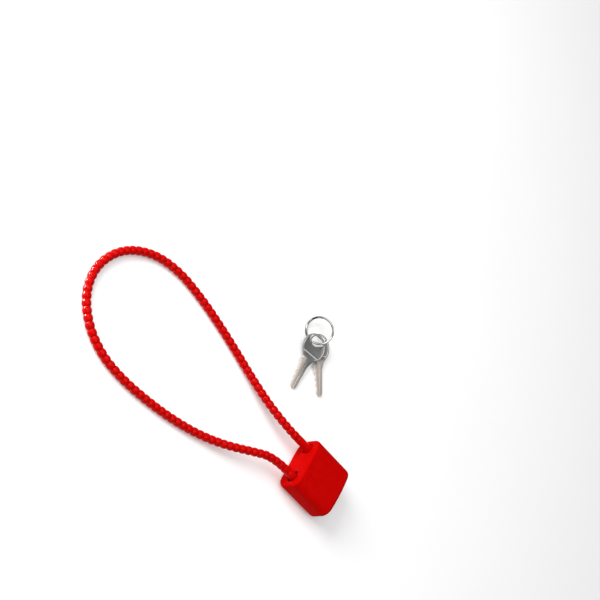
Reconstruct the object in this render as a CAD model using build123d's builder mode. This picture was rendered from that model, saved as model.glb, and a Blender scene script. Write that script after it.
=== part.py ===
from build123d import *
from math import atan, cos, degrees, pi, radians, sin, tan
import os

# Cable luggage lock: a moulded cover round a die-cast case with a key-turned latch, a looped steel
# cable with a jacket of plastic, and two flat keys on a split ring.
# Frame: the lock lies on its back, +Z is the front face's normal, +Y points out of the end that the
# cable leaves, and the origin is on the back face's centre line, head_height below that end.
# All sizes are in millimetres.

# Lock body
width, height, thick = 32.5, 30.3, 17.8
head_height = 14.5
front_radius, back_radius = 5.5, 6.6
top_radius, bottom_radius = 1.6, 2.2
bottom_sag = 1.1
wall, top_wall, rim_wall = 1.6, 1.8, 1.2
play = 0.15
cap_seat = 3.5

# Cable holes
hole_x, hole_z = 9.8, 10.2
hole_radius, hole_round = 3.55, 0.35
recess_depth = 0.8

# Cable
core_radius, jacket_radius, jacket_bore = 1.45, 2.5, 1.5
sleeve_radius, sleeve_end = 2.4, 24.5
collar_radius, collar_end = 2.65, 19.0
neck_radius = 2.0
floor_z = jacket_radius

# Cylinder plug and pins
plug_radius, plug_z = 3.95, 6.9
plug_gap = 0.07
flange_step, flange_length = 0.75, 1.25
retaining_radius, retaining_y = 0.7, 0.6
keyway_width, keyway_low, keyway_high = 1.9, 3.4, 3.0
pin_count, pin_pitch, pin_start = 4, 2.2, -8.6
pin_radius, chamber_radius = 0.85, 0.9
key_pin_lengths = [2.7, 1.9, 3.1, 2.3]
driver_length = 1.75
spring_wire, spring_turns = 0.13, 4

# Case: the plate over its pockets, its screws and the pins' clearances
screw_x, screw_y = 4.6, 7.4
screw_radius, screw_head, screw_low = 0.78, 1.4, 10.1
head_taper = 0.65
chamber_half, chamber_low, chamber_high = 2.0, -10.0, 2.2
pocket_half, pocket_low, pocket_high = 6.6, 2.1, 9.2

# Cam and latch
cam_radius, cam_throw, cam_pin_radius = 2.9, 1.5, 0.8
latch_low, latch_high = 3.15, 5.45
latch_travel = 2 * cam_throw * sin(radians(45))
latch_left, latch_right, latch_floor, latch_roof = -3.6, 4.6, 4.6, 14.5
nose_half = 1.4
tang = 2.0

# Free end of the cable
end_radius, end_gap, end_tip = 2.7, 0.08, -3.0
groove_radius = 1.25
tip_radius, tip_length = 1.5, 1.6
core_seat = 15.0
neck_end = 17.5

# Fixed end of the cable
ferrule_radius, ferrule_low = 2.65, 1.5
ferrule_neck_end, ferrule_seat = 18.0, 16.0
cross_pin_radius, cross_pin_y, cross_pin_length = 0.74, 3.4, 12.2

# Keys and ring
bow_radius, bow_thick = 8.3, 1.1
blade_length, blade_thick = 28.6, 1.0
blade_outline = [
    (6.0, 2.6), (6.0, -3.6), (9.6, -3.8), (10.3, -4.9), (11.3, -4.9), (12.2, -3.6), (13.1, -3.4),
    (13.9, -3.9), (14.8, -3.9), (15.8, -3.0), (16.7, -3.0), (17.6, -3.6), (18.5, -3.6), (19.5, -2.8),
    (20.4, -2.8), (21.2, -3.3), (22.0, -3.3), (23.0, -2.5), (23.9, -2.5), (24.6, -3.0), (25.6, -3.0),
    (27.0, -2.6), (28.1, -1.7), (blade_length, -0.8), (28.5, 0.2), (27.8, 1.2), (26.6, 1.7), (14.0, 2.0),
]
bow_hole_length, bow_hole_width, bow_hole_offset = 11.2, 6.2, 3.8
groove_start, groove_end, groove_middle = 8.4, 29.0, -0.5
groove_width, groove_depth = 0.8, 0.35
shoulder = [(4.0, -7.2), (8.6, -3.6), (12.5, -0.4), (12.5, 2.2), (8.8, 3.4), (4.0, 7.2)]
ring_radius, ring_breadth, ring_wire, ring_pitch = 8.0, 0.5, 0.36, 0.68
ring_tilt = 34.8
ring_heading = 128.7
ring_place = (75.4, 44.0)
key_spots = {
    "key_1": dict(place=(64.58, 41.23), heading=187.4, lift=4.06),
    "key_2": dict(place=(67.96, 37.38), heading=221.4, lift=2.53),
}

top_y, bottom_y = head_height, head_height - height
case_top = top_y - top_wall - play
case_low = bottom_y + cap_seat
inset = wall + play
front_z = thick - inset
plug_end = 1.4
plug_face = bottom_y + 0.3
flange_low = case_low - 0.05 - flange_length
cam_low, cam_top = plug_end + 0.05, latch_low - 0.15
shear_z = plug_z + plug_radius + 0.05
cover_plate = 1.0
retaining_x = plug_radius - flange_step + retaining_radius + 0.06
retaining_length = 9.0
plate_z = front_z - cover_plate
pin_places = [pin_start + pin_pitch * i for i in range(pin_count)]

os.makedirs("parts", exist_ok=True)


def across(y):
    """Plane across the lock at height y, with the part's X and Z and its normal along -Y."""
    return Plane.XZ.offset(-y)


def section(edge_inset, y):
    """Outline of the lock body, brought in by edge_inset, at height y."""
    with BuildSketch(across(y)) as outline:
        with Locations((0, thick / 2)):
            Rectangle(width - 2 * edge_inset, thick - 2 * edge_inset)
        fillet(outline.vertices().group_by(Axis.Y)[-1], front_radius - edge_inset)
        fillet(outline.vertices().group_by(Axis.Y)[0], back_radius - edge_inset)
    return outline.sketch


def disc(x, z, radius, y):
    """Round sketch across the lock, centred on (x, z)."""
    with BuildSketch(across(y)) as round_sketch:
        with Locations((x, z)):
            Circle(radius)
    return round_sketch.sketch


def bore(x, z, radius, high, low):
    """Takes a round hole along Y, from high down to low, out of the part being built."""
    extrude(disc(x, z, radius, high), amount=high - low, mode=Mode.SUBTRACT)


def pocket(x_range, y_range, z_range):
    """Takes a square pocket out of the part being built."""
    centre = [sum(r) / 2 for r in (x_range, y_range, z_range)]
    size = [r[1] - r[0] for r in (x_range, y_range, z_range)]
    with Locations(tuple(centre)):
        Box(*size, mode=Mode.SUBTRACT)


def pin_hole(x, y, radius, low, high):
    """Takes a round hole along Z out of the part being built."""
    with BuildSketch(Plane.XY.offset(low)) as round_sketch:
        with Locations((x, y)):
            Circle(radius)
    extrude(round_sketch.sketch, amount=high - low, mode=Mode.SUBTRACT)


def write(name, piece):
    piece.label = name
    export_step(piece, f"parts/{name}.step")


# Outer form of the body, with a crowned lower end, shared by the cover and the cap

with BuildPart() as body_form:
    extrude(section(0, top_y), amount=height)
    crown_radius = ((width / 2) ** 2 + bottom_sag**2) / (2 * bottom_sag)
    with BuildSketch(Plane.XY.offset(-1)) as crown:
        with Locations((0, bottom_y + crown_radius)):
            Circle(crown_radius)
    extrude(amount=thick + 2, mode=Mode.INTERSECT)
    fillet(body_form.faces().sort_by(Axis.Y)[-1].edges(), top_radius)
    fillet(body_form.faces().sort_by(Axis.Y)[0].edges(), bottom_radius)

# Moulded cover with the two cable holes

with BuildPart() as outer_cover:
    add(body_form.part)
    extrude(section(wall, top_y - top_wall), amount=height, mode=Mode.SUBTRACT)
    extrude(section(rim_wall, case_low), amount=height, mode=Mode.SUBTRACT)
    bore(-hole_x, hole_z, hole_radius, top_y + 1, top_y - top_wall - 1)
    bore(hole_x, hole_z, hole_radius, top_y + 1, top_y - recess_depth)
    bore(hole_x, hole_z, sleeve_radius + 0.1, top_y, top_y - top_wall - 1)
    hole_rims = outer_cover.edges().filter_by(GeomType.CIRCLE).group_by(Axis.Y)[-1]
    fillet([rim for rim in hole_rims if abs(rim.radius - hole_radius) < 0.01], hole_round)
write("outer_cover", outer_cover.part)

# Lower cap, pressed into the cover's rim, with the keyway opening

with BuildPart() as bottom_cap:
    add(body_form.part)
    extrude(section(rim_wall + 0.04, case_low - 0.05), amount=height, mode=Mode.INTERSECT)
    bore(0, plug_z, plug_radius + 0.15, top_y, bottom_y - 1)
    bore(0, plug_z, plug_radius + flange_step + 0.2, top_y, flange_low - 0.1)
write("bottom_cap", bottom_cap.part)

# Die-cast case that carries the mechanism

with BuildPart() as lock_case:
    extrude(section(inset, case_top), amount=case_top - case_low)
    bore(0, plug_z, plug_radius + plug_gap, plug_end + 0.05, case_low - 1)
    bore(0, plug_z, cam_radius + 0.15, latch_low, plug_end)
    bore(-hole_x, hole_z, end_radius + end_gap, case_top + 1, end_tip - 0.4)
    bore(-hole_x, hole_z, collar_radius + 0.35, case_top + 1, case_top - 0.6)
    bore(hole_x, hole_z, ferrule_radius + 0.02, case_top + 1, ferrule_low - 0.05)
    latch_span = (latch_low - 0.05, latch_high + 0.05)
    pocket((latch_left - latch_travel - play, latch_right + play), latch_span,
           (latch_floor - 0.1, front_z + 1))
    pocket((-8.0, -5.6), latch_span, (hole_z - nose_half - 0.1, hole_z + nose_half + 0.1))
    for y in pin_places:
        pin_hole(0, y, chamber_radius, plug_z, front_z + 1)
    pocket((-chamber_half, chamber_half), (chamber_low, chamber_high), (plate_z, front_z + 1))
    pocket((-pocket_half, pocket_half), (pocket_low, pocket_high), (plate_z, front_z + 1))
    for side in (-1, 1):
        pin_hole(side * screw_x, screw_y, screw_radius + 0.02, screw_low - 0.1, front_z)
    pin_hole(hole_x, cross_pin_y, cross_pin_radius + 0.02, 0, inset + cross_pin_length + 0.25)
    pin_hole(retaining_x, retaining_y, retaining_radius + 0.02, 0, inset + retaining_length + 0.25)
write("lock_case", lock_case.part)

# Plate that closes the pin chambers and the latch pocket, and its two screws

with BuildPart() as mechanism_cover:
    with BuildSketch(Plane.XY.offset(plate_z + 0.02)) as plate:
        with Locations((0, (chamber_low + chamber_high) / 2 + 0.05)):
            Rectangle(2 * chamber_half - 0.1, chamber_high - chamber_low)
        with Locations((0, (pocket_low + pocket_high) / 2)):
            Rectangle(2 * pocket_half - 0.1, pocket_high - pocket_low - 0.1)
    extrude(amount=cover_plate - 0.04)
    for side in (-1, 1):
        with Locations(Plane(origin=(side * screw_x, screw_y, front_z - 0.02))):
            CounterSinkHole(screw_radius + 0.07, screw_head + 0.1, depth=cover_plate)
write("mechanism_cover", mechanism_cover.part)

for number, side in enumerate((-1, 1), 1):
    with BuildPart() as case_screw:
        screw_axis = (side * screw_x, screw_y, 0)
        with BuildSketch(Plane(origin=screw_axis, x_dir=(1, 0, 0), z_dir=(0, -1, 0))):
            with BuildLine():
                Polyline((0, screw_low), (screw_radius, screw_low), (screw_radius, front_z - head_taper),
                         (screw_head, front_z - 0.05), (0, front_z - 0.05), (0, screw_low))
            make_face()
        revolve(axis=Axis(screw_axis, (0, 0, 1)))
        pocket((side * screw_x - 2, side * screw_x + 2), (screw_y - 0.2, screw_y + 0.2),
               (front_z - 0.4, front_z))
    write(f"case_screw_{number}", case_screw.part)

# Pins and springs over the plug

for number, (y, length) in enumerate(zip(pin_places, key_pin_lengths), 1):
    with BuildPart() as key_pin:
        with BuildSketch(Plane.XY.offset(plug_z + plug_radius - 0.1 - length)):
            with Locations((0, y)):
                Circle(pin_radius)
        extrude(amount=length)
        chamfer(key_pin.edges().group_by(Axis.Z)[0], 0.4)
    write(f"key_pin_{number}", key_pin.part)

    with BuildPart() as driver_pin:
        with BuildSketch(Plane.XY.offset(shear_z)):
            with Locations((0, y)):
                Circle(pin_radius)
        extrude(amount=driver_length)
        chamfer(driver_pin.edges().group_by(Axis.Z)[-1], 0.15)
    write(f"driver_pin_{number}", driver_pin.part)

    spring_low = shear_z + driver_length + spring_wire + 0.02
    spring_height = plate_z - spring_wire - spring_low
    with BuildPart() as pin_spring:
        with BuildLine():
            coil = Helix(spring_height / spring_turns, spring_height, pin_radius - spring_wire,
                         center=(0, y, spring_low))
        with BuildSketch(Plane(origin=coil @ 0, z_dir=coil % 0)):
            Circle(spring_wire)
        sweep(is_frenet=True)
    write(f"pin_spring_{number}", pin_spring.part)

# Cylinder plug, held by a cross pin in its groove, with the cam on its inner end

with BuildPart() as cylinder_plug:
    extrude(disc(0, plug_z, plug_radius, plug_end), amount=plug_end - plug_face)
    extrude(disc(0, plug_z, plug_radius + flange_step, case_low - 0.05), amount=flange_length)
    with BuildSketch(across(plug_face)):
        with Locations((0, plug_z + (keyway_high - keyway_low) / 2)):
            Rectangle(keyway_width, keyway_high + keyway_low)
        with Locations((keyway_width / 2, plug_z - 0.9)):
            Rectangle(0.7, 0.8, mode=Mode.SUBTRACT)
    extrude(amount=plug_face, mode=Mode.SUBTRACT)
    with BuildSketch(across(retaining_y + retaining_radius + 0.02)):
        with Locations((0, plug_z)):
            Circle(plug_radius + 1)
            Circle(plug_radius - flange_step, mode=Mode.SUBTRACT)
    extrude(amount=2 * retaining_radius + 0.04, mode=Mode.SUBTRACT)
    for y in pin_places:
        pin_hole(0, y, chamber_radius, plug_z + keyway_high - 0.5, plug_z + plug_radius + 1)
    tang_half = tang / 2 + 0.05
    pocket((-tang_half, tang_half), (0.3, plug_end), (plug_z - tang_half, plug_z + tang_half))
write("cylinder_plug", cylinder_plug.part)

with BuildPart() as plug_pin:
    with BuildSketch(Plane.XY.offset(inset + 0.1)):
        with Locations((retaining_x, retaining_y)):
            Circle(retaining_radius)
    extrude(amount=retaining_length)
write("plug_retaining_pin", plug_pin.part)

with BuildPart() as plug_cam:
    extrude(disc(0, plug_z, cam_radius, cam_top), amount=cam_top - cam_low)
    with BuildSketch(across(cam_low)):
        with Locations((0, plug_z)):
            Rectangle(tang, tang)
    extrude(amount=0.9)
    cam_offset = cam_throw * sin(radians(45))
    extrude(disc(cam_offset, plug_z + cam_offset, cam_pin_radius, latch_high - 0.1),
            amount=latch_high - 0.1 - cam_top)
write("plug_cam", plug_cam.part)

# Latch bolt, moved along X by the cam's pin

with BuildPart() as latch_bolt:
    nose_tip = -hole_x + groove_radius + 0.25 + latch_travel
    with BuildSketch(across(latch_high)) as latch_face:
        with Locations(((latch_left + latch_right) / 2, (latch_floor + latch_roof) / 2)):
            Rectangle(latch_right - latch_left, latch_roof - latch_floor)
        with Locations(((nose_tip + latch_left) / 2 + 0.05, hole_z)):
            Rectangle(latch_left - nose_tip + 0.1, 2 * nose_half)
        slot_low = plug_z + cam_offset - cam_pin_radius - 0.25
        slot_high = plug_z + cam_throw + cam_pin_radius + 0.25
        with Locations((cam_offset, (slot_low + slot_high) / 2)):
            Rectangle(2 * cam_pin_radius + 0.3, slot_high - slot_low, mode=Mode.SUBTRACT)
    extrude(amount=latch_high - latch_low)
    nose_edges = latch_bolt.edges().filter_by(Axis.Z).group_by(Axis.X)[0]
    chamfer(nose_edges, 0.4)
write("latch_bolt", latch_bolt.part)

# Free end of the cable: steel end with its latch groove, and the moulded collar

with BuildPart() as cable_end_plug:
    with BuildSketch(Plane(origin=(-hole_x, 0, hole_z), x_dir=(1, 0, 0), z_dir=(0, 0, 1))):
        with BuildLine():
            Polyline((0, end_tip), (tip_radius, end_tip), (end_radius, end_tip + tip_length),
                     (end_radius, latch_low - 0.25), (groove_radius, latch_low - 0.25),
                     (groove_radius, latch_high + 0.25), (end_radius, latch_high + 0.25),
                     (end_radius, case_top), (neck_radius, case_top),
                     (neck_radius, neck_end), (jacket_bore, neck_end), (jacket_bore, core_seat),
                     (0, core_seat), (0, end_tip))
        make_face()
    revolve(axis=Axis((-hole_x, 0, hole_z), (0, 1, 0)))
write("cable_end_plug", cable_end_plug.part)

with BuildPart() as end_collar:
    extrude(disc(-hole_x, hole_z, collar_radius, collar_end), amount=collar_end - case_top - 0.02)
    bore(-hole_x, hole_z, jacket_bore, collar_end, case_top)
    bore(-hole_x, hole_z, neck_radius + 0.02, neck_end + 0.05, case_top)
    fillet(end_collar.faces().sort_by(Axis.Y)[-1].outer_wire().edges(), 0.4)
write("end_collar", end_collar.part)

# Fixed end of the cable: crimped ferrule, its cross pin and the smooth sleeve

with BuildPart() as ferrule:
    extrude(disc(hole_x, hole_z, ferrule_radius, case_top), amount=case_top - ferrule_low)
    extrude(disc(hole_x, hole_z, neck_radius, ferrule_neck_end), amount=ferrule_neck_end - case_top)
    bore(hole_x, hole_z, jacket_bore, ferrule_neck_end, ferrule_seat)
    pin_hole(hole_x, cross_pin_y, cross_pin_radius + 0.02, 0, thick)
write("fixed_end_ferrule", ferrule.part)

with BuildPart() as ferrule_pin:
    with BuildSketch(Plane.XY.offset(inset + 0.1)):
        with Locations((hole_x, cross_pin_y)):
            Circle(cross_pin_radius)
    extrude(amount=cross_pin_length)
write("fixed_end_pin", ferrule_pin.part)

with BuildPart() as sleeve:
    extrude(disc(hole_x, hole_z, sleeve_radius, sleeve_end), amount=sleeve_end - case_top - 0.02)
    bore(hole_x, hole_z, jacket_bore, sleeve_end, case_top)
    bore(hole_x, hole_z, neck_radius + 0.02, ferrule_neck_end + 0.05, case_top)
write("fixed_end_sleeve", sleeve.part)

# Cable: the loop leaves the fixed end, comes down to lie on the surface and turns back to the free end

loop_points = [
    (hole_x, 33.0, hole_z),
    (13.8, 50.0, 7.0),
    (19.8, 66.0, 3.6),
    (24.8, 82.0, floor_z),
    (29.0, 100.0, floor_z),
    (32.3, 118.5, floor_z),
    (33.8, 137.5, floor_z),
    (29.6, 155.5, floor_z),
    (17.8, 170.3, floor_z),
    (0.6, 176.6, floor_z),
    (-15.4, 173.2, floor_z),
    (-28.0, 161.6, floor_z),
    (-35.2, 146.0, floor_z),
    (-36.9, 128.5, floor_z),
    (-35.7, 110.5, floor_z),
    (-33.0, 92.0, floor_z),
    (-28.8, 74.5, 3.2),
    (-23.2, 58.5, 5.8),
    (-16.2, 44.5, 8.6),
    (-hole_x, 31.5, hole_z),
]


def loop_line(start_y, end_y):
    return [Vector(*p) for p in [(hole_x, start_y, hole_z), *loop_points, (-hole_x, end_y, hole_z)]]


def loop_path(start_y, end_y, radii):
    with BuildLine() as line:
        FilletPolyline(*loop_line(start_y, end_y), radius=radii)
    return line.wires()[0]


# Arcs as large as the straight runs allow, shared by the jacket and the core so that they stay coaxial
spots = loop_line(sleeve_end, collar_end)
arc_radii = []
for before, corner, after in zip(spots, spots[1:], spots[2:]):
    turn = (corner - before).get_angle(after - corner)
    shorter = min((corner - before).length, (after - corner).length)
    arc_radii.append(0.45 * shorter / tan(radians(turn / 2)))

jacket_path = loop_path(sleeve_end, collar_end, arc_radii)
core_path = loop_path(ferrule_seat + 0.05, core_seat + 0.05, arc_radii)

with BuildPart() as cable_jacket:
    with BuildSketch(Plane(origin=jacket_path @ 0, z_dir=jacket_path % 0)):
        Circle(jacket_radius)
        Circle(jacket_bore, mode=Mode.SUBTRACT)
    sweep(path=jacket_path)
write("cable_jacket", cable_jacket.part)

with BuildPart() as cable_core:
    with BuildSketch(Plane(origin=core_path @ 0, z_dir=core_path % 0)):
        Circle(core_radius)
    sweep(path=core_path)
write("cable_core", cable_core.part)

# Split ring, leaning on the keys' bows, and the two keys


def leaning_plane(place, lift, heading, lean):
    """Plane at a place above the surface, dipping by lean towards heading."""
    turn, dip = radians(heading), radians(lean)
    normal = (sin(dip) * cos(turn), sin(dip) * sin(turn), cos(dip))
    down_hill = (cos(dip) * cos(turn), cos(dip) * sin(turn), -sin(dip))
    return Plane(origin=(*place, lift), x_dir=down_hill, z_dir=normal)


ring_lift = ring_radius * sin(radians(ring_tilt)) + (ring_pitch + 2 * ring_wire) / 2 + 0.05
ring_plane = leaning_plane(ring_place, ring_lift, ring_heading, ring_tilt)
with BuildPart() as split_ring:
    for side in (-1, 1):
        with BuildSketch(Plane(ring_plane.origin, x_dir=ring_plane.x_dir, z_dir=-ring_plane.y_dir)):
            with Locations((ring_radius, side * ring_pitch / 2)):
                Ellipse(ring_breadth, ring_wire)
        revolve(axis=Axis(ring_plane.origin, ring_plane.z_dir))
write("split_ring", split_ring.part)

for name, spot in key_spots.items():
    lean = degrees(atan((spot["lift"] - 0.05) / blade_length))
    key_plane = leaning_plane(spot["place"], spot["lift"], spot["heading"], lean)
    with BuildPart() as key:
        with BuildSketch(key_plane) as bow:
            Circle(bow_radius)
            with BuildLine():
                Polyline(*shoulder, close=True)
            make_face()
            with Locations((-bow_hole_offset, 0)):
                SlotOverall(bow_hole_length, bow_hole_width, rotation=90, mode=Mode.SUBTRACT)
        extrude(amount=bow_thick)
        with BuildSketch(key_plane.offset((bow_thick - blade_thick) / 2)) as blade:
            with BuildLine():
                Polyline(*blade_outline, close=True)
            make_face()
        extrude(amount=blade_thick)
        with BuildSketch(key_plane.offset(bow_thick)) as groove:
            with Locations(((groove_start + groove_end) / 2, groove_middle)):
                Rectangle(groove_end - groove_start, groove_width)
        extrude(amount=-groove_depth, mode=Mode.SUBTRACT)
    write(name, key.part)

print("jacket length", round(jacket_path.length, 1), "core length", round(core_path.length, 1))
print("arc radii", [round(r, 1) for r in arc_radii])
section_area = pi * (jacket_radius**2 - jacket_bore**2)
print("jacket volume over section times length",
      round(cable_jacket.part.volume / (section_area * jacket_path.length), 4))
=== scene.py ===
import bmesh
import bpy
from math import atan, cos, pi, radians, sin, tau
from mathutils import Matrix, Vector


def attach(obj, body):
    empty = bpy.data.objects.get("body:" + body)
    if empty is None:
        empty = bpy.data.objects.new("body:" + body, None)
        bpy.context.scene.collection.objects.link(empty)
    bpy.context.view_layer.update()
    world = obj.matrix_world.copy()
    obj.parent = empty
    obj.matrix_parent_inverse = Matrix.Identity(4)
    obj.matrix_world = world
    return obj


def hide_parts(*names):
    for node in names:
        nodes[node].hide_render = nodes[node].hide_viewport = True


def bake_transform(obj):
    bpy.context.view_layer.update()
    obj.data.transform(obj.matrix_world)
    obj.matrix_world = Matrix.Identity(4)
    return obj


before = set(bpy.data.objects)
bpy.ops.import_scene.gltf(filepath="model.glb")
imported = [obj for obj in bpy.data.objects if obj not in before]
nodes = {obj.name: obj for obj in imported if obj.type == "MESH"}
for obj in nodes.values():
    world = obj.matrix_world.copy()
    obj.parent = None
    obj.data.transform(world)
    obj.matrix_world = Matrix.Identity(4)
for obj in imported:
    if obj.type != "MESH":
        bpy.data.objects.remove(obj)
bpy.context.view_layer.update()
scene = bpy.context.scene
mm = 0.001


# Camera and light

cameraSetup = {
    "place": (-0.30695, 0.34776, 0.51642),
    "aim": (0.07409, 0.07004, 0.01265),
    "up": (0.7120, 0.6832, 0.1619),
    "lens": 72.0,
}

lightSetup = {
    "areas": {
        "overhead": {"place": (-0.10, 0.32, 1.00), "aim": (0.02, 0.08, 0), "size": 1.10, "power": 7.0},
        "window": {"place": (0.05, 0.95, 0.50), "aim": (0, 0.06, 0.01), "size": 0.60, "power": 10.5},
        # below the floor's level, gloss only, reaches only the jacket: see shineOn
        "sparkle": {"place": (-0.012, 0.300, -0.040), "aim": (-0.032, 0.158, 0.0025), "size": 0.06,
                    "power": 4.0, "glossOnly": True},
    },
    "skyStrength": 0.22,
    "skyTop": (1.0, 1.0, 1.0, 1.0),
    "skyLow": (0.10, 0.10, 0.11, 1.0),
    "skyEdge": (0.05, 0.55),  # heights where the dark wall ends and the white ceiling starts
}


def turnTowards(place, aim, up):
    forward = (Vector(aim) - Vector(place)).normalized()
    right = forward.cross(Vector(up)).normalized()
    return Matrix((right, right.cross(forward), -forward)).transposed().to_4x4()


def makeCamera(setup):
    data = bpy.data.cameras.new("camera")
    data.lens = setup["lens"]
    data.sensor_width = 36.0
    data.clip_start = 0.01
    camera = bpy.data.objects.new("camera", data)
    turned = turnTowards(setup["place"], setup["aim"], setup["up"])
    camera.matrix_world = Matrix.Translation(setup["place"]) @ turned
    scene.collection.objects.link(camera)
    scene.camera = camera


def makeLights(setup):
    for name, values in setup["areas"].items():
        data = bpy.data.lights.new(name, "AREA")
        data.shape = "SQUARE"
        data.size = values["size"]
        data.energy = values["power"]
        light = bpy.data.objects.new(name, data)
        turned = turnTowards(values["place"], values["aim"], (0, 1, 0.1))
        light.matrix_world = Matrix.Translation(values["place"]) @ turned
        light.visible_camera = False
        light.visible_diffuse = not values.get("glossOnly", False)
        scene.collection.objects.link(light)
    world = bpy.data.worlds.new("studio")
    world.use_nodes = True
    tree = world.node_tree
    direction = tree.nodes.new("ShaderNodeTexCoord")
    split = tree.nodes.new("ShaderNodeSeparateXYZ")
    height = tree.nodes.new("ShaderNodeMapRange")
    height.interpolation_type = "SMOOTHSTEP"
    height.inputs["From Min"].default_value, height.inputs["From Max"].default_value = setup["skyEdge"]
    blend = tree.nodes.new("ShaderNodeMix")
    blend.data_type = "RGBA"
    colourSockets = [s for s in blend.inputs if s.type == "RGBA"]
    colourSockets[0].default_value = setup["skyLow"]
    colourSockets[1].default_value = setup["skyTop"]
    tree.links.new(direction.outputs["Generated"], split.inputs[0])
    tree.links.new(split.outputs["Z"], height.inputs["Value"])
    tree.links.new(height.outputs[0], blend.inputs["Factor"])
    colourOut = [s for s in blend.outputs if s.type == "RGBA"][0]
    background = tree.nodes["Background"]
    tree.links.new(colourOut, background.inputs["Color"])
    background.inputs["Strength"].default_value = setup["skyStrength"]
    scene.world = world
    scene.view_settings.view_transform = "Standard"


makeCamera(cameraSetup)
makeLights(lightSetup)
print("camera and lights are set")


# Helpers for node trees and meshes

def place(tree, kind, **settings):
    made = tree.nodes.new(kind)
    for key, value in settings.items():
        setattr(made, key, value)
    return made


def feed(tree, socket, value):
    if isinstance(value, bpy.types.NodeSocket):
        tree.links.new(value, socket)
    else:
        socket.default_value = value


def work(tree, operation, *values):
    made = place(tree, "ShaderNodeMath", operation=operation)
    for socket, value in zip(made.inputs, values):
        feed(tree, socket, value)
    return made.outputs[0]


def ramp(tree, value, low, high, newLow=0.0, newHigh=1.0):
    made = place(tree, "ShaderNodeMapRange", interpolation_type="SMOOTHSTEP")
    feed(tree, made.inputs["Value"], value)
    for name, number in (("From Min", low), ("From Max", high), ("To Min", newLow), ("To Max", newHigh)):
        feed(tree, made.inputs[name], number)
    return made.outputs[0]


def mixColour(tree, factor, first, second):
    made = place(tree, "ShaderNodeMix", data_type="RGBA")
    feed(tree, made.inputs[0], factor)
    feed(tree, made.inputs[6], first)
    feed(tree, made.inputs[7], second)
    return made.outputs[2]


def newObject(name, data):
    made = bpy.data.objects.new(name, data)
    scene.collection.objects.link(made)
    return made


def bakedMesh(source, name):
    # the evaluated shape as a plain mesh; the source object is removed
    bpy.context.view_layer.update()
    graph = bpy.context.evaluated_depsgraph_get()
    mesh = bpy.data.meshes.new_from_object(source.evaluated_get(graph), depsgraph=graph)
    mesh.name = name
    bpy.data.objects.remove(source)
    return mesh


def smoothShade(mesh, angle=35):
    mesh.polygons.foreach_set("use_smooth", [True] * len(mesh.polygons))
    mesh.set_sharp_from_angle(angle=radians(angle))


def finishPiece(name, mesh, material, slotName, body, *replaced):
    made = newObject(name, mesh)
    mesh.materials.clear()
    mesh.materials.append(material)
    if body:
        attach(made, body)
    if replaced:
        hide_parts(*replaced)
    return made


# Shader groups shared by the finishes

def newGroup(name, inputs, outputs):
    tree = bpy.data.node_groups.new(name, "ShaderNodeTree")
    for label, kind, value in inputs:
        socket = tree.interface.new_socket(label, in_out="INPUT", socket_type=kind)
        if value is not None:
            socket.default_value = value
    for label in outputs:
        tree.interface.new_socket(label, in_out="OUTPUT", socket_type="NodeSocketFloat")
    return tree, place(tree, "NodeGroupInput"), place(tree, "NodeGroupOutput")


def noise(tree, vector, scale, detail=3.0, roughness=0.55):
    made = place(tree, "ShaderNodeTexNoise")
    feed(tree, made.inputs["Vector"], vector)
    feed(tree, made.inputs["Scale"], scale)
    feed(tree, made.inputs["Detail"], detail)
    feed(tree, made.inputs["Roughness"], roughness)
    return made.outputs[0]


def makeGrainGroup():
    # moulded or cast skin: a broad orange-peel wave with a fine grain on it
    tree, entry, leave = newGroup(
        "skinGrain",
        [("Vector", "NodeSocketVector", None), ("Wave Scale", "NodeSocketFloat", 250.0),
         ("Grain Scale", "NodeSocketFloat", 3000.0), ("Grain Share", "NodeSocketFloat", 0.4)],
        ["Height", "Tone"])
    wave = noise(tree, entry.outputs["Vector"], entry.outputs["Wave Scale"], 2.0)
    grain = noise(tree, entry.outputs["Vector"], entry.outputs["Grain Scale"], 4.0)
    share = entry.outputs["Grain Share"]
    height = work(tree, "ADD", wave, work(tree, "MULTIPLY", grain, share))
    tree.links.new(height, leave.inputs["Height"])
    tree.links.new(ramp(tree, wave, 0.3, 0.7), leave.inputs["Tone"])
    return tree


def makeWearGroup():
    # fine scratches and rubbed patches from handling
    tree, entry, leave = newGroup(
        "handlingWear",
        [("Vector", "NodeSocketVector", None), ("Patch Scale", "NodeSocketFloat", 120.0),
         ("Scratch Scale", "NodeSocketFloat", 600.0), ("Stretch", "NodeSocketVector", (1.0, 8.0, 1.0))],
        ["Scratches", "Rubbed"])
    patches = noise(tree, entry.outputs["Vector"], entry.outputs["Patch Scale"], 3.0)
    stretched = place(tree, "ShaderNodeVectorMath", operation="MULTIPLY")
    tree.links.new(entry.outputs["Vector"], stretched.inputs[0])
    tree.links.new(entry.outputs["Stretch"], stretched.inputs[1])
    lines = noise(tree, stretched.outputs[0], entry.outputs["Scratch Scale"], 4.0, 0.7)
    tree.links.new(ramp(tree, lines, 0.52, 0.72), leave.inputs["Scratches"])
    tree.links.new(ramp(tree, patches, 0.45, 0.7), leave.inputs["Rubbed"])
    return tree


skinGrain = makeGrainGroup()
handlingWear = makeWearGroup()

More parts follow.
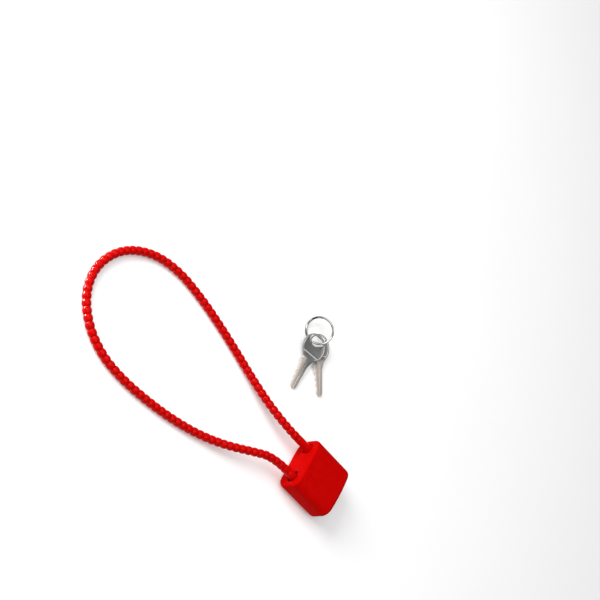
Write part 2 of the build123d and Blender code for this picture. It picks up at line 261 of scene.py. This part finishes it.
finishes = {
    "coverPlastic": dict(colour=(0.49, 0.0012, 0.0008), wornAndSheen=(0.55, 0.003, 0.002),
                         metallic=0.0, roughness=0.36,
                         rubbed=0.30, wave=220.0, grain=2600.0, share=0.5, bump=0.10, scratch=900.0,
                         stretch=(1, 6, 1), level=0.004),
    "capPlastic": dict(colour=(0.47, 0.0012, 0.0008), wornAndSheen=(0.53, 0.003, 0.002),
                       metallic=0.0, roughness=0.38,
                       rubbed=0.31, wave=220.0, grain=2600.0, share=0.5, bump=0.10, scratch=900.0,
                       stretch=(6, 1, 1), level=0.004),
    "jacketPlastic": dict(colour=(0.50, 0.0010, 0.0006), wornAndSheen=(0.56, 0.002, 0.0014),
                          metallic=0.0, roughness=0.15,
                          rubbed=0.24, wave=420.0, grain=3600.0, share=0.3, bump=0.08, scratch=1200.0,
                          stretch=(4, 1, 1), level=0.06),
    "caseMetal": dict(colour=(0.40, 0.40, 0.42), wornAndSheen=(0.52, 0.52, 0.53), metallic=1.0, roughness=0.52,
                      rubbed=0.40, wave=700.0, grain=5200.0, share=1.0, bump=0.35, scratch=700.0,
                      stretch=(1, 3, 1), level=0.5),
    "plugBrass": dict(colour=(0.62, 0.43, 0.16), wornAndSheen=(0.74, 0.56, 0.26), metallic=1.0, roughness=0.30,
                      rubbed=0.20, wave=500.0, grain=6000.0, share=0.6, bump=0.12, scratch=2400.0,
                      stretch=(1, 14, 1), level=0.5),
    "steelPart": dict(colour=(0.46, 0.46, 0.47), wornAndSheen=(0.60, 0.60, 0.60), metallic=1.0, roughness=0.32,
                      rubbed=0.22, wave=500.0, grain=6000.0, share=0.7, bump=0.15, scratch=2000.0,
                      stretch=(1, 10, 1), level=0.5),
    "springWire": dict(colour=(0.50, 0.50, 0.52), wornAndSheen=(0.66, 0.66, 0.67), metallic=1.0, roughness=0.24,
                       rubbed=0.16, wave=900.0, grain=8000.0, share=0.5, bump=0.08, scratch=3000.0,
                       stretch=(1, 1, 8), level=0.5),
    "endNickel": dict(colour=(0.66, 0.63, 0.58), wornAndSheen=(0.78, 0.75, 0.70), metallic=1.0, roughness=0.20,
                      rubbed=0.30, wave=500.0, grain=6000.0, share=0.5, bump=0.08, scratch=2600.0,
                      stretch=(1, 16, 1), level=0.5),
    # the ring's chrome paints its reflections: the near-black base and the light second colour, mixed in full
    # by the noise tone, are painted dark and light reflections; scratches also turn to the light colour
    "ringChrome": dict(colour=(0.02, 0.017, 0.016), wornAndSheen=(0.56, 0.53, 0.50), metallic=1.0, roughness=0.14,
                       rubbed=0.22, wave=150.0, grain=6000.0, share=0.2, bump=0.04, scratch=1800.0,
                       stretch=(2, 2, 6), level=0.5, patch=1.0),
}


def startMaterial(name):
    material = bpy.data.materials.new(name)
    material.use_nodes = True
    return material, material.node_tree, material.node_tree.nodes["Principled BSDF"]


def useGroup(tree, group, **values):
    made = place(tree, "ShaderNodeGroup", node_tree=group)
    for label, value in values.items():
        feed(tree, made.inputs[label.replace("_", " ")], value)
    return made


def addBump(tree, shader, height, strength, distance=0.00005):
    bump = place(tree, "ShaderNodeBump")
    bump.inputs["Strength"].default_value = strength
    bump.inputs["Distance"].default_value = distance
    tree.links.new(height, bump.inputs["Height"])
    tree.links.new(bump.outputs[0], shader.inputs["Normal"])


scratchShare = 0.35     # how far a scratch turns to the worn colour
patchShare = 0.5        # how far a patch does, where a finish gives no share of its own


def makeFinish(name, values):
    material, tree, shader = startMaterial(name)
    spot = place(tree, "ShaderNodeTexCoord").outputs["Object"]
    grain = useGroup(tree, skinGrain, Vector=spot, Wave_Scale=values["wave"], Grain_Scale=values["grain"],
                     Grain_Share=values["share"])
    wear = useGroup(tree, handlingWear, Vector=spot, Scratch_Scale=values["scratch"],
                    Stretch=values["stretch"])
    # patches by the skin's tone turn towards the second colour: a random tone on most finishes, painted
    # reflections on the ring's chrome
    patchy = mixColour(tree, work(tree, "MULTIPLY", grain.outputs["Tone"], values.get("patch", patchShare)),
                       (*values["colour"], 1), (*values["wornAndSheen"], 1))
    lines = work(tree, "MULTIPLY", wear.outputs["Scratches"], scratchShare)
    tree.links.new(mixColour(tree, lines, patchy, (*values["wornAndSheen"], 1)), shader.inputs["Base Color"])
    tree.links.new(ramp(tree, wear.outputs["Rubbed"], 0, 1, values["roughness"], values["rubbed"]),
                   shader.inputs["Roughness"])
    shader.inputs["Metallic"].default_value = values["metallic"]
    shader.inputs["Specular IOR Level"].default_value = values["level"]
    addBump(tree, shader, grain.outputs["Height"], values["bump"])
    return material


finish = {name: makeFinish(name, values) for name, values in finishes.items()}


ropeValues = {
    "lay": 900.0,
    "dark": (0.18, 0.18, 0.19, 1),
    "light": (0.55, 0.55, 0.56, 1),
    "roughness": (0.42, 0.28),
    "bump": (0.6, 0.0002),      # strength and distance
}


def makeRopeFinish(values):
    # twisted strands seen only where the jacket ends
    material, tree, shader = startMaterial("ropeSteel")
    spot = place(tree, "ShaderNodeTexCoord").outputs["Object"]
    strands = place(tree, "ShaderNodeTexWave", wave_type="BANDS", bands_direction="DIAGONAL")
    tree.links.new(spot, strands.inputs["Vector"])
    strands.inputs["Scale"].default_value = values["lay"]
    wear = useGroup(tree, handlingWear, Vector=spot)
    tree.links.new(mixColour(tree, strands.outputs["Fac"], values["dark"], values["light"]),
                   shader.inputs["Base Color"])
    tree.links.new(ramp(tree, wear.outputs["Rubbed"], 0, 1, *values["roughness"]), shader.inputs["Roughness"])
    shader.inputs["Metallic"].default_value = 1.0
    addBump(tree, shader, strands.outputs["Fac"], *values["bump"])
    return material


finish["ropeSteel"] = makeRopeFinish(ropeValues)

# the keys' colours paint their reflections: dark is painted dark reflection on the bow and along part of the
# blade, light is the lit rest, and rim is a lighter painted sheen on the rim that also colours the scratches
keyFinishes = {
    "keyNickel": {
        "light": (0.62, 0.56, 0.50, 1),
        "dark": (0.20, 0.205, 0.205, 1),
        "rim": (0.34, 0.34, 0.33, 1),
        # the next colour is a painted highlight, laid on the ledge, the rim's edge and the seam line
        "highlightColour": (0.90, 0.88, 0.85, 1),
        "bladeStart": (7.4, 8.6),   # where the blade's cut side turns light, in mm from the bow's centre
        "taper": (10.0, 25.0),      # where the other side does
        "seam": (-0.9, -0.5),       # the groove between the two sides
        "rimEdgeHighlight": 0.55,
    },
    # the rear key is a second copy of the nickel with its own painted light and dark reflections
    "keyNickelRear": {
        "light": (0.78, 0.71, 0.64, 1),
        "dark": (0.26, 0.265, 0.27, 1),
        "rim": (0.50, 0.50, 0.48, 1),
        "highlightColour": (0.92, 0.92, 0.90, 1),
        "bladeStart": (8.0, 13.0),
        "taper": (6.0, 8.4),
        "seam": (-2.4, -1.6),
        "rimEdgeHighlight": 1.0,
    },
}

# bands on a key's plan in mm, each from its outer start to its full strength, and back where it ends
keyPlan = {
    "bowEnd": (5.6, 6.8),
    "rimStart": (7.3, 7.5),
    # rimEdge, ledge and seamLine place painted highlights; rimStart places the rim's painted sheen
    "rimEdge": (7.2, 7.4, 7.6, 7.8),
    "ledge": (4.55, 4.7, 5.2, 5.4),
    "seamLine": (-1.15, -1.0, -0.9, -0.75),
    "seamStart": (8.4, 9.0),
    "seamHighlight": 0.6,
    "rimShare": 0.8,
    "brush": (12.0, 1.2, 1.0),      # brushing runs along the key
    "brushScale": 90.0,
    "brushTone": (0.42, 0.75),
    "brushShare": 0.35,
    "brushColour": (0.8, 0.78, 0.75, 1),
    "scratchShare": 0.2,
    "roughness": (0.46, 0.26),
    "metallic": 0.6,
    "bump": (0.25, 0.00003),
}


def band(tree, value, start, full, fading, end):
    return work(tree, "MULTIPLY", ramp(tree, value, start, full), ramp(tree, value, fading, end, 1, 0))


def makeKeyFinish(name, values, plan):
    # the piece's own map holds its plan in millimetres over 100: u along the key, v across it
    material, tree, shader = startMaterial(name)
    spot = place(tree, "ShaderNodeUVMap", uv_map="plan").outputs[0]
    split = place(tree, "ShaderNodeSeparateXYZ")
    tree.links.new(spot, split.inputs[0])
    along = work(tree, "MULTIPLY", split.outputs["X"], 100.0)
    across = work(tree, "MULTIPLY", split.outputs["Y"], 100.0)
    radius = work(tree, "SQRT", work(tree, "ADD", work(tree, "MULTIPLY", along, along),
                                     work(tree, "MULTIPLY", across, across)))
    # painted dark reflection: the cut side is dark up to bladeStart, the back side up to taper, split at the
    # seam
    cutSide = ramp(tree, along, *values["bladeStart"], 1, 0)
    backSide = ramp(tree, along, *values["taper"], 1, 0)
    side = ramp(tree, across, *values["seam"])
    darkReflectionMask = work(tree, "ADD", work(tree, "MULTIPLY", cutSide, work(tree, "SUBTRACT", 1.0, side)),
                    work(tree, "MULTIPLY", backSide, side))
    # painted sheen on the rim, and painted highlights on the rim's edge, the ledge and the seam line
    bow = ramp(tree, along, *plan["bowEnd"], 1, 0)
    rim = work(tree, "MULTIPLY", ramp(tree, radius, *plan["rimStart"]), bow)
    rimEdge = work(tree, "MULTIPLY", band(tree, radius, *plan["rimEdge"]), bow)
    ledge = work(tree, "MULTIPLY", band(tree, along, *plan["ledge"]),
                 ramp(tree, radius, *plan["rimStart"], 1, 0))
    seamLine = work(tree, "MULTIPLY", band(tree, across, *plan["seamLine"]),
                    ramp(tree, along, *plan["seamStart"]))
    highlightMask = work(tree, "MAXIMUM", ledge, work(tree, "MULTIPLY", rimEdge, values["rimEdgeHighlight"]))
    highlightMask = work(tree, "MAXIMUM", highlightMask, work(tree, "MULTIPLY", seamLine, plan["seamHighlight"]))
    brush = place(tree, "ShaderNodeVectorMath", operation="MULTIPLY")
    tree.links.new(spot, brush.inputs[0])
    brush.inputs[1].default_value = plan["brush"]
    lines = noise(tree, brush.outputs[0], plan["brushScale"], 6.0, 0.65)
    wear = useGroup(tree, handlingWear, Vector=place(tree, "ShaderNodeTexCoord").outputs["Object"],
                    Patch_Scale=300.0, Scratch_Scale=1500.0)
    base = mixColour(tree, darkReflectionMask, values["light"], values["dark"])
    base = mixColour(tree, work(tree, "MULTIPLY", rim, plan["rimShare"]), base, values["rim"])
    brushed = work(tree, "MULTIPLY", ramp(tree, lines, *plan["brushTone"]), plan["brushShare"])
    base = mixColour(tree, brushed, base, plan["brushColour"])
    scratched = work(tree, "MULTIPLY", wear.outputs["Scratches"], plan["scratchShare"])
    base = mixColour(tree, scratched, base, values["rim"])
    tree.links.new(mixColour(tree, highlightMask, base, values["highlightColour"]), shader.inputs["Base Color"])
    tree.links.new(ramp(tree, lines, 0.3, 0.8, *plan["roughness"]), shader.inputs["Roughness"])
    shader.inputs["Metallic"].default_value = plan["metallic"]
    addBump(tree, shader, lines, *plan["bump"])
    return material


for name, values in keyFinishes.items():
    finish[name] = makeKeyFinish(name, values, keyPlan)
print("finishes are made:", len(finish))


# Looped cable: a beaded jacket that follows the cable's route

cableShape = {
    "route": [
        (9.8, 24.5, 10.2), (9.8, 33.0, 10.2), (13.8, 50.0, 7.0), (19.8, 66.0, 3.6), (24.8, 82.0, 2.5),
        (29.0, 100.0, 2.5), (32.3, 118.5, 2.5), (33.8, 137.5, 2.5), (29.6, 155.5, 2.5), (17.8, 170.3, 2.5),
        (0.6, 176.6, 2.5), (-15.4, 173.2, 2.5), (-28.0, 161.6, 2.5), (-35.2, 146.0, 2.5), (-36.9, 128.5, 2.5),
        (-35.7, 110.5, 2.5), (-33.0, 92.0, 2.5), (-28.8, 74.5, 3.2), (-23.2, 58.5, 5.8), (-16.2, 44.5, 8.6),
        (-9.8, 31.5, 10.2), (-9.8, 19.0, 10.2),
    ],
    "crestRadius": 2.5,
    "beadPitch": 3.85,
    "grooveShare": 0.25,    # groove's depth as a share of the crest's radius
    "stepsPerBead": 14,
    "sides": 28,
    "fades": (5.0, 26.0),   # beads grow to full height over these lengths at the fixed and the free end
    "cutAt": 232.0,         # where the long run ends and the short run to the free end starts
    "giveWay": (0.136, 0.026),  # that run's bend, from this distance along the lock's length to this one
}


ribCurve = {
    "roundness": 2.4,   # higher is flatter on the crest and sharper in the groove
    "startLow": -0.6,   # below 0, so that the ribs have some height at the very end
    "endLow": -0.5,
}


def makeSweepTree():
    # sweeps an oval section along a curve, with rounded ribs where a rib depth is given
    tree = bpy.data.node_groups.new("ribbedSweep", "GeometryNodeTree")
    face = tree.interface
    face.new_socket("Geometry", in_out="INPUT", socket_type="NodeSocketGeometry")
    wanted = [("Half Width", 0.0025), ("Half Height", 0.0025), ("Step", 0.0003), ("Rib Pitch", 0.0036),
              ("Rib Depth", 0.0), ("Start Fade", 0.006), ("End Fade", 0.006),
              ("Length Before", 0.0), ("Length After", 0.0)]
    for label, value in wanted:
        face.new_socket(label, in_out="INPUT", socket_type="NodeSocketFloat").default_value = value
    face.new_socket("Sides", in_out="INPUT", socket_type="NodeSocketInt").default_value = 24
    face.new_socket("Material", in_out="INPUT", socket_type="NodeSocketMaterial")
    face.new_socket("Geometry", in_out="OUTPUT", socket_type="NodeSocketGeometry")
    entry, leave = place(tree, "NodeGroupInput"), place(tree, "NodeGroupOutput")
    given = entry.outputs
    points = place(tree, "GeometryNodeResampleCurve", mode="LENGTH")
    feed(tree, points.inputs["Curve"], given["Geometry"])
    feed(tree, points.inputs["Length"], given["Step"])
    passed = work(tree, "ADD", place(tree, "GeometryNodeSplineParameter").outputs["Length"],
                  given["Length Before"])
    whole = work(tree, "ADD", place(tree, "GeometryNodeSplineLength").outputs["Length"],
                 work(tree, "ADD", given["Length Before"], given["Length After"]))
    phase = work(tree, "FRACT", work(tree, "DIVIDE", work(tree, "ADD", passed, 1e-6), given["Rib Pitch"]))
    fromCrest = work(tree, "ABSOLUTE", work(tree, "SUBTRACT", work(tree, "MULTIPLY", phase, 2.0), 1.0))
    rounded = work(tree, "SUBTRACT", 1.0, work(tree, "POWER", fromCrest, ribCurve["roundness"]))
    startFade = ramp(tree, work(tree, "DIVIDE", passed, given["Start Fade"]), ribCurve["startLow"], 1.0)
    left = work(tree, "SUBTRACT", whole, passed)
    endFade = ramp(tree, work(tree, "DIVIDE", left, given["End Fade"]), ribCurve["endLow"], 1.0)
    fade = work(tree, "MULTIPLY", startFade, endFade)
    depth = work(tree, "MULTIPLY", fade, given["Rib Depth"])
    size = work(tree, "SUBTRACT", 1.0, work(tree, "MULTIPLY", depth, work(tree, "SUBTRACT", 1.0, rounded)))
    circle = place(tree, "GeometryNodeCurvePrimitiveCircle", mode="RADIUS")
    feed(tree, circle.inputs["Resolution"], given["Sides"])
    circle.inputs["Radius"].default_value = 1.0
    scale = place(tree, "ShaderNodeCombineXYZ")
    feed(tree, scale.inputs["X"], given["Half Width"])
    feed(tree, scale.inputs["Y"], given["Half Height"])
    scale.inputs["Z"].default_value = 1.0
    oval = place(tree, "GeometryNodeTransform")
    feed(tree, oval.inputs["Geometry"], circle.outputs["Curve"])
    feed(tree, oval.inputs["Scale"], scale.outputs[0])
    sweep = place(tree, "GeometryNodeCurveToMesh")
    feed(tree, sweep.inputs["Curve"], points.outputs["Curve"])
    feed(tree, sweep.inputs["Profile Curve"], oval.outputs["Geometry"])
    sweep.inputs["Fill Caps"].default_value = True
    feed(tree, sweep.inputs["Scale"], size)
    smooth = place(tree, "GeometryNodeSetShadeSmooth")
    feed(tree, smooth.inputs["Geometry"], sweep.outputs["Mesh"])
    real = place(tree, "GeometryNodeRealizeInstances")
    feed(tree, real.inputs["Geometry"], smooth.outputs["Geometry"])
    coloured = place(tree, "GeometryNodeSetMaterial")
    feed(tree, coloured.inputs["Geometry"], real.outputs["Geometry"])
    feed(tree, coloured.inputs["Material"], given["Material"])
    feed(tree, leave.inputs["Geometry"], coloured.outputs["Geometry"])
    return tree


sweepTree = makeSweepTree()


def setInputs(modifier, values):
    sockets = {item.name: item.identifier for item in modifier.node_group.interface.items_tree
               if item.in_out == "INPUT"}
    for label, value in values.items():
        modifier[sockets[label]] = value


def sweepAlong(curveObject, name, values):
    modifier = curveObject.modifiers.new("sweep", "NODES")
    modifier.node_group = sweepTree
    setInputs(modifier, values)
    return bakedMesh(curveObject, name)


def routeCurve(points):
    curve = bpy.data.curves.new("route", "CURVE")
    curve.dimensions = "3D"
    curve.resolution_u = 24
    spline = curve.splines.new("NURBS")
    spline.points.add(len(points) - 1)
    for point, spot in zip(spline.points, points):
        point.co = (*[value * mm for value in spot], 1)
    spline.order_u = 3
    spline.use_endpoint_u = True
    return newObject("route", curve)


def lineCurve(points):
    curve = bpy.data.curves.new("line", "CURVE")
    curve.dimensions = "3D"
    spline = curve.splines.new("POLY")
    spline.points.add(len(points) - 1)
    for point, spot in zip(spline.points, points):
        point.co = (*spot, 1)
    return newObject("line", curve)


def lengthOf(points):
    return sum((b - a).length for a, b in zip(points, points[1:]))


def cutLine(points, length):
    # two runs of points that meet at this length from the start
    passed = 0.0
    for i, (a, b) in enumerate(zip(points, points[1:])):
        step = (b - a).length
        if passed + step >= length:
            meeting = a.lerp(b, (length - passed) / step)
            return points[:i + 1] + [meeting], [meeting] + points[i + 1:]
        passed += step
    return points, []


def makeCable(shape):
    # the long run stays with the lock; the short run goes to the free end
    line = [v.co.copy() for v in bakedMesh(routeCurve(shape["route"]), "line").vertices]
    whole = lengthOf(line)
    pitch = whole / round(whole / (shape["beadPitch"] * mm))
    cut = round(shape["cutAt"] * mm / pitch) * pitch
    runs, before = {}, 0.0
    for name, node, points in zip(("beadedJacket", "beadedJacketFree"), ("cable_jacket", "cable_core"),
                                  cutLine(line, cut)):
        length = lengthOf(points)
        mesh = sweepAlong(lineCurve(points), name, {
            "Half Width": shape["crestRadius"] * mm, "Half Height": shape["crestRadius"] * mm,
            "Step": pitch / shape["stepsPerBead"], "Rib Pitch": pitch, "Rib Depth": shape["grooveShare"],
            "Start Fade": shape["fades"][0] * mm, "End Fade": shape["fades"][1] * mm,
            "Length Before": before, "Length After": whole - before - length,
            "Sides": shape["sides"], "Material": finish["jacketPlastic"]})
        piece = finishPiece(name, mesh, finish["jacketPlastic"], "jacket_plastic", None, node)
        runs[name] = (piece, points, length)
        print(name, "length", round(length, 4), "faces", len(mesh.polygons))
        before += length
    print("cable length", round(whole, 4), "beads", round(whole / pitch))
    return runs


cableRuns = makeCable(cableShape)


# Turned pieces on the cable: the smooth sleeve at the fixed end and the collar at the free end

turnedShape = {
    "endSleeve": {"x": 9.8, "z": 10.2, "profile": [(12.6, 2.0), (12.6, 2.38), (13.4, 2.4), (23.2, 2.4),
                                                  (23.9, 2.34), (24.3, 2.2), (24.48, 2.02), (24.48, 1.6)]},
    "endCollar": {"x": -9.8, "z": 10.2, "profile": [(12.58, 2.1), (12.58, 2.58), (12.75, 2.65), (15.4, 2.65),
                                                   (17.4, 2.58), (18.7, 2.46), (18.98, 2.3), (18.98, 1.7)]},
}
turnedSides = 48


def makeTurned(name, shape):
    mesh = bpy.data.meshes.new(name)
    bm = bmesh.new()
    rings = []
    for y, radius in shape["profile"]:
        ring = []
        for i in range(turnedSides):
            angle = tau * i / turnedSides
            spot = (shape["x"] + radius * cos(angle), y, shape["z"] + radius * sin(angle))
            ring.append(bm.verts.new([value * mm for value in spot]))
        rings.append(ring)
    for low, high in zip(rings, rings[1:]):
        for i in range(turnedSides):
            j = (i + 1) % turnedSides
            bm.faces.new((low[i], high[i], high[j], low[j]))
    bm.faces.new(rings[0])
    bm.faces.new(rings[-1][::-1])
    bmesh.ops.recalc_face_normals(bm, faces=bm.faces)
    bm.to_mesh(mesh)
    bm.free()
    smoothShade(mesh, 50)
    return mesh


def finishTurned(name, body, node):
    mesh = makeTurned(name, turnedShape[name])
    return finishPiece(name, mesh, finish["jacketPlastic"], "jacket_plastic", body, node)


finishTurned("endSleeve", "lock", "fixed_end_sleeve")
collar = finishTurned("endCollar", "cable_end", "end_collar")
print("sleeve and collar are made")


def shineOn(lightName, pieces):
    # the small light reaches these pieces only, and the floor above it casts no shadow on them
    lit = bpy.data.collections.new("jacketPieces")
    for piece in pieces:
        lit.objects.link(piece)
    linking = bpy.data.objects[lightName].light_linking
    linking.receiver_collection = lit
    linking.blocker_collection = lit


shineOn("sparkle", [cableRuns["beadedJacket"][0], cableRuns["beadedJacketFree"][0]])


# Keys and split ring

keyShape = {
    "bowRadius": 8.3, "rimWidth": 0.9, "thick": 1.1, "bladeThick": 1.0, "recess": 0.2,
    "holeLength": 11.2, "holeWidth": 6.2, "holeOffset": 3.8,
    "ledge": (4.7, 5.3),
    "shoulder": [(4.0, -7.2), (8.6, -3.6), (12.5, -0.4), (12.5, 2.2), (8.8, 3.4), (4.0, 7.2)],
    "bladeLength": 28.6,
    "blade": [
        (6.0, 2.6), (6.0, -3.6), (9.6, -3.8), (10.3, -4.9), (11.3, -4.9), (12.2, -3.6), (13.1, -3.4),
        (13.9, -3.9), (14.8, -3.9), (15.8, -3.0), (16.7, -3.0), (17.6, -3.6), (18.5, -3.6), (19.5, -2.8),
        (20.4, -2.8), (21.2, -3.3), (22.0, -3.3), (23.0, -2.5), (23.9, -2.5), (24.6, -3.0), (25.6, -3.0),
        (27.0, -2.6), (28.1, -1.7), (28.6, -0.8), (28.5, 0.2), (27.8, 1.2), (26.6, 1.7), (14.0, 2.0),
    ],
    "groove": (8.4, 29.0, -0.5), "grooveWidth": 0.8, "grooveDepth": 0.35, "edge": 0.09,
    "spots": {
        "frontKey": {"finish": "keyNickel", "node": "key_1", "body": "front_key",
                     "place": (64.58, 41.23), "heading": 187.4, "lift": 4.06},
        "rearKey": {"finish": "keyNickelRear", "node": "key_2", "body": "rear_key",
                    "place": (67.96, 37.38), "heading": 221.4, "lift": 2.53},
    },
}

ringShape = {
    "radius": 8.0, "halfBreadth": 0.57, "halfWire": 0.36, "pitch": 0.68,
    "place": (75.4, 44.0), "heading": 128.7, "tilt": 34.8, "lift": 5.32,
    "crossing": 24.0,       # degrees over which a turn steps up to the next
    "crossingAt": 40.0,
    "endGap": 1.5,          # degrees left free at each end of the wire
    "sweepStep": 0.28,
    "sides": 20,
    "steps": 220,
}


def leaningPlane(place, lift, heading, lean):
    # matrix whose X runs down the slope towards the heading and whose Z is the slope's normal
    turn, dip = radians(heading), radians(lean)
    downhill = Vector((cos(dip) * cos(turn), cos(dip) * sin(turn), -sin(dip)))
    normal = Vector((sin(dip) * cos(turn), sin(dip) * sin(turn), cos(dip)))
    turned = Matrix((downhill, normal.cross(downhill), normal)).transposed().to_4x4()
    return Matrix.Translation(Vector((*place, lift)) * mm) @ turned


def prism(name, outline, low, high):
    mesh = bpy.data.meshes.new(name)
    bm = bmesh.new()
    lower = bm.faces.new([bm.verts.new((x * mm, y * mm, low * mm)) for x, y in outline])
    grown = bmesh.ops.extrude_face_region(bm, geom=[lower])["geom"]
    lifted = [v for v in grown if isinstance(v, bmesh.types.BMVert)]
    bmesh.ops.translate(bm, verts=lifted, vec=(0, 0, (high - low) * mm))
    bmesh.ops.recalc_face_normals(bm, faces=bm.faces)
    bm.to_mesh(mesh)
    bm.free()
    return newObject(name, mesh)


def disc(radius, count=96):
    return [(radius * cos(tau * i / count), radius * sin(tau * i / count)) for i in range(count)]


def slot(length, width, offset, count=24):
    reach = length / 2 - width / 2
    outline = []
    for middle, first in ((reach, 0), (-reach, pi)):
        for i in range(count + 1):
            angle = first + pi * i / count
            outline.append((offset + width / 2 * cos(angle), middle + width / 2 * sin(angle)))
    return outline


def combine(target, tool, operation):
    modifier = target.modifiers.new("join", "BOOLEAN")
    modifier.operation = operation
    modifier.solver = "EXACT"
    modifier.object = tool
    name = target.name
    mesh = bakedMesh(target, name)
    bpy.data.objects.remove(tool)
    return newObject(name, mesh)


def makeKeyBody(shape):
    thick, recess, play = shape["thick"], shape["recess"], (shape["thick"] - shape["bladeThick"]) / 2
    inner = shape["bowRadius"] - shape["rimWidth"]
    key = prism("keyBody", disc(shape["bowRadius"]), 0, thick)
    key = combine(key, prism("tool", shape["shoulder"], 0.0, thick), "UNION")
    key = combine(key, prism("tool", shape["blade"], play, thick - play), "UNION")
    hole = slot(shape["holeLength"], shape["holeWidth"], -shape["holeOffset"])
    key = combine(key, prism("tool", hole, -1, thick + 1), "DIFFERENCE")
    for low, high in ((thick - recess, thick + 1), (-1, recess)):
        field = [(x, y) for x, y in disc(inner) if x < shape["ledge"][0]]
        key = combine(key, prism("tool", field, low, high), "DIFFERENCE")
        below = [(x, y) for x, y in disc(inner) if x > shape["ledge"][1]]
        key = combine(key, prism("tool", below, low, high), "DIFFERENCE")
    near, far, middle = shape["groove"]
    half = shape["grooveWidth"] / 2
    groove = [(near, middle - half), (far, middle - half), (far, middle + half), (near, middle + half)]
    key = combine(key, prism("tool", groove, thick - shape["grooveDepth"], thick + 1), "DIFFERENCE")
    bevel = key.modifiers.new("edges", "BEVEL")
    bevel.width = shape["edge"] * mm
    bevel.segments = 2
    bevel.limit_method = "ANGLE"
    bevel.angle_limit = radians(40)
    bevel.use_clamp_overlap = True
    bevel.harden_normals = False
    return bakedMesh(key, "keyBody")


def addPlan(mesh):
    layer = mesh.uv_layers.new(name="plan")
    for loop in mesh.loops:
        spot = mesh.vertices[loop.vertex_index].co
        layer.data[loop.index].uv = (spot.x / mm / 100, spot.y / mm / 100)


def makeKeys(shape):
    pattern = makeKeyBody(shape)
    smoothShade(pattern, 30)
    addPlan(pattern)
    for name, spot in shape["spots"].items():
        lean = atan((spot["lift"] - 0.05) / shape["bladeLength"])
        mesh = pattern.copy()
        mesh.transform(leaningPlane(spot["place"], spot["lift"], spot["heading"], lean * 180 / pi))
        mesh.name = name
        finishPiece(name, mesh, finish[spot["finish"]], "key_nickel", spot["body"], spot["node"])
    print("keys are made, faces", len(pattern.polygons))


def makeRing(shape):
    curve = bpy.data.curves.new("wireLine", "CURVE")
    curve.dimensions = "3D"
    spline = curve.splines.new("POLY")
    first, gap = shape["crossingAt"], shape["endGap"]
    spline.points.add(shape["steps"] * 2 - 1)
    for i, point in enumerate(spline.points):
        share = i / (len(spline.points) - 1)
        degreesIn = gap + share * (720 - 2 * gap)
        climb = min(max((degreesIn - 360 + shape["crossing"] / 2) / shape["crossing"], 0), 1)
        climb = climb * climb * (3 - 2 * climb)
        angle = radians(first + degreesIn)
        height = (climb - 0.5) * shape["pitch"]
        point.co = (shape["radius"] * cos(angle) * mm, shape["radius"] * sin(angle) * mm, height * mm, 1)
    wire = newObject("wireLine", curve)
    mesh = sweepAlong(wire, "splitRing", {
        "Half Width": shape["halfBreadth"] * mm, "Half Height": shape["halfWire"] * mm,
        "Step": shape["sweepStep"] * mm, "Rib Depth": 0.0, "Sides": shape["sides"],
        "Material": finish["ringChrome"]})
    mesh.transform(leaningPlane(shape["place"], shape["lift"], shape["heading"], shape["tilt"]))
    finishPiece("splitRing", mesh, finish["ringChrome"], "ring_chrome", "ring", "split_ring")
    print("split ring is made, faces", len(mesh.polygons))


makeKeys(keyShape)
makeRing(ringShape)


# Finishes of the pieces that come from the CAD

cadFinishes = {
    "coverPlastic": ["outer_cover"],
    "capPlastic": ["bottom_cap"],
    "caseMetal": ["lock_case"],
    "plugBrass": ["cylinder_plug", "key_pin_1", "key_pin_2", "key_pin_3", "key_pin_4"],
    "steelPart": ["mechanism_cover", "case_screw_1", "case_screw_2", "plug_retaining_pin", "plug_cam",
                  "latch_bolt", "fixed_end_ferrule", "fixed_end_pin", "driver_pin_1", "driver_pin_2",
                  "driver_pin_3", "driver_pin_4"],
    "springWire": ["pin_spring_1", "pin_spring_2", "pin_spring_3", "pin_spring_4"],
    "endNickel": ["cable_end_plug"],
    "jacketPlastic": ["fixed_end_sleeve", "end_collar", "cable_jacket"],
    "ropeSteel": ["cable_core"],
    "keyNickel": ["key_1", "key_2"],
    "ringChrome": ["split_ring"],
}

for finishName, members in cadFinishes.items():
    for member in members:
        nodes[member].data.materials.clear()
        nodes[member].data.materials.append(finish[finishName])
print("CAD pieces are painted")


# The long run stays where it is, on the lock; the short one, between it and the free end, is baked in place

longRun, longPath, longLength = cableRuns["beadedJacket"]
freeRun, freePath, freeLength = cableRuns["beadedJacketFree"]
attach(longRun, "lock")
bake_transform(freeRun)


# Floor

floorLook = {"size": 3.0, "colour": (0.93, 0.93, 0.93, 1), "speckle": (0.90, 0.90, 0.90, 1), "glow": 0.16}


def makeFloor(look):
    mesh = bpy.data.meshes.new("floor")
    half = look["size"] / 2
    corners = [(-half, -half, 0), (half, -half, 0), (half, half, 0), (-half, half, 0)]
    mesh.from_pydata(corners, [], [(0, 1, 2, 3)])
    material, tree, shader = startMaterial("floorPaper")
    spot = place(tree, "ShaderNodeTexCoord").outputs["Object"]
    tree.links.new(mixColour(tree, noise(tree, spot, 12.0), look["colour"], look["speckle"]),
                   shader.inputs["Base Color"])
    shader.inputs["Roughness"].default_value = 0.9
    shader.inputs["Emission Color"].default_value = look["colour"]
    shader.inputs["Emission Strength"].default_value = look["glow"]
    shader.inputs["Specular IOR Level"].default_value = 0.1
    mesh.materials.append(material)
    newObject("floor", mesh)


makeFloor(floorLook)
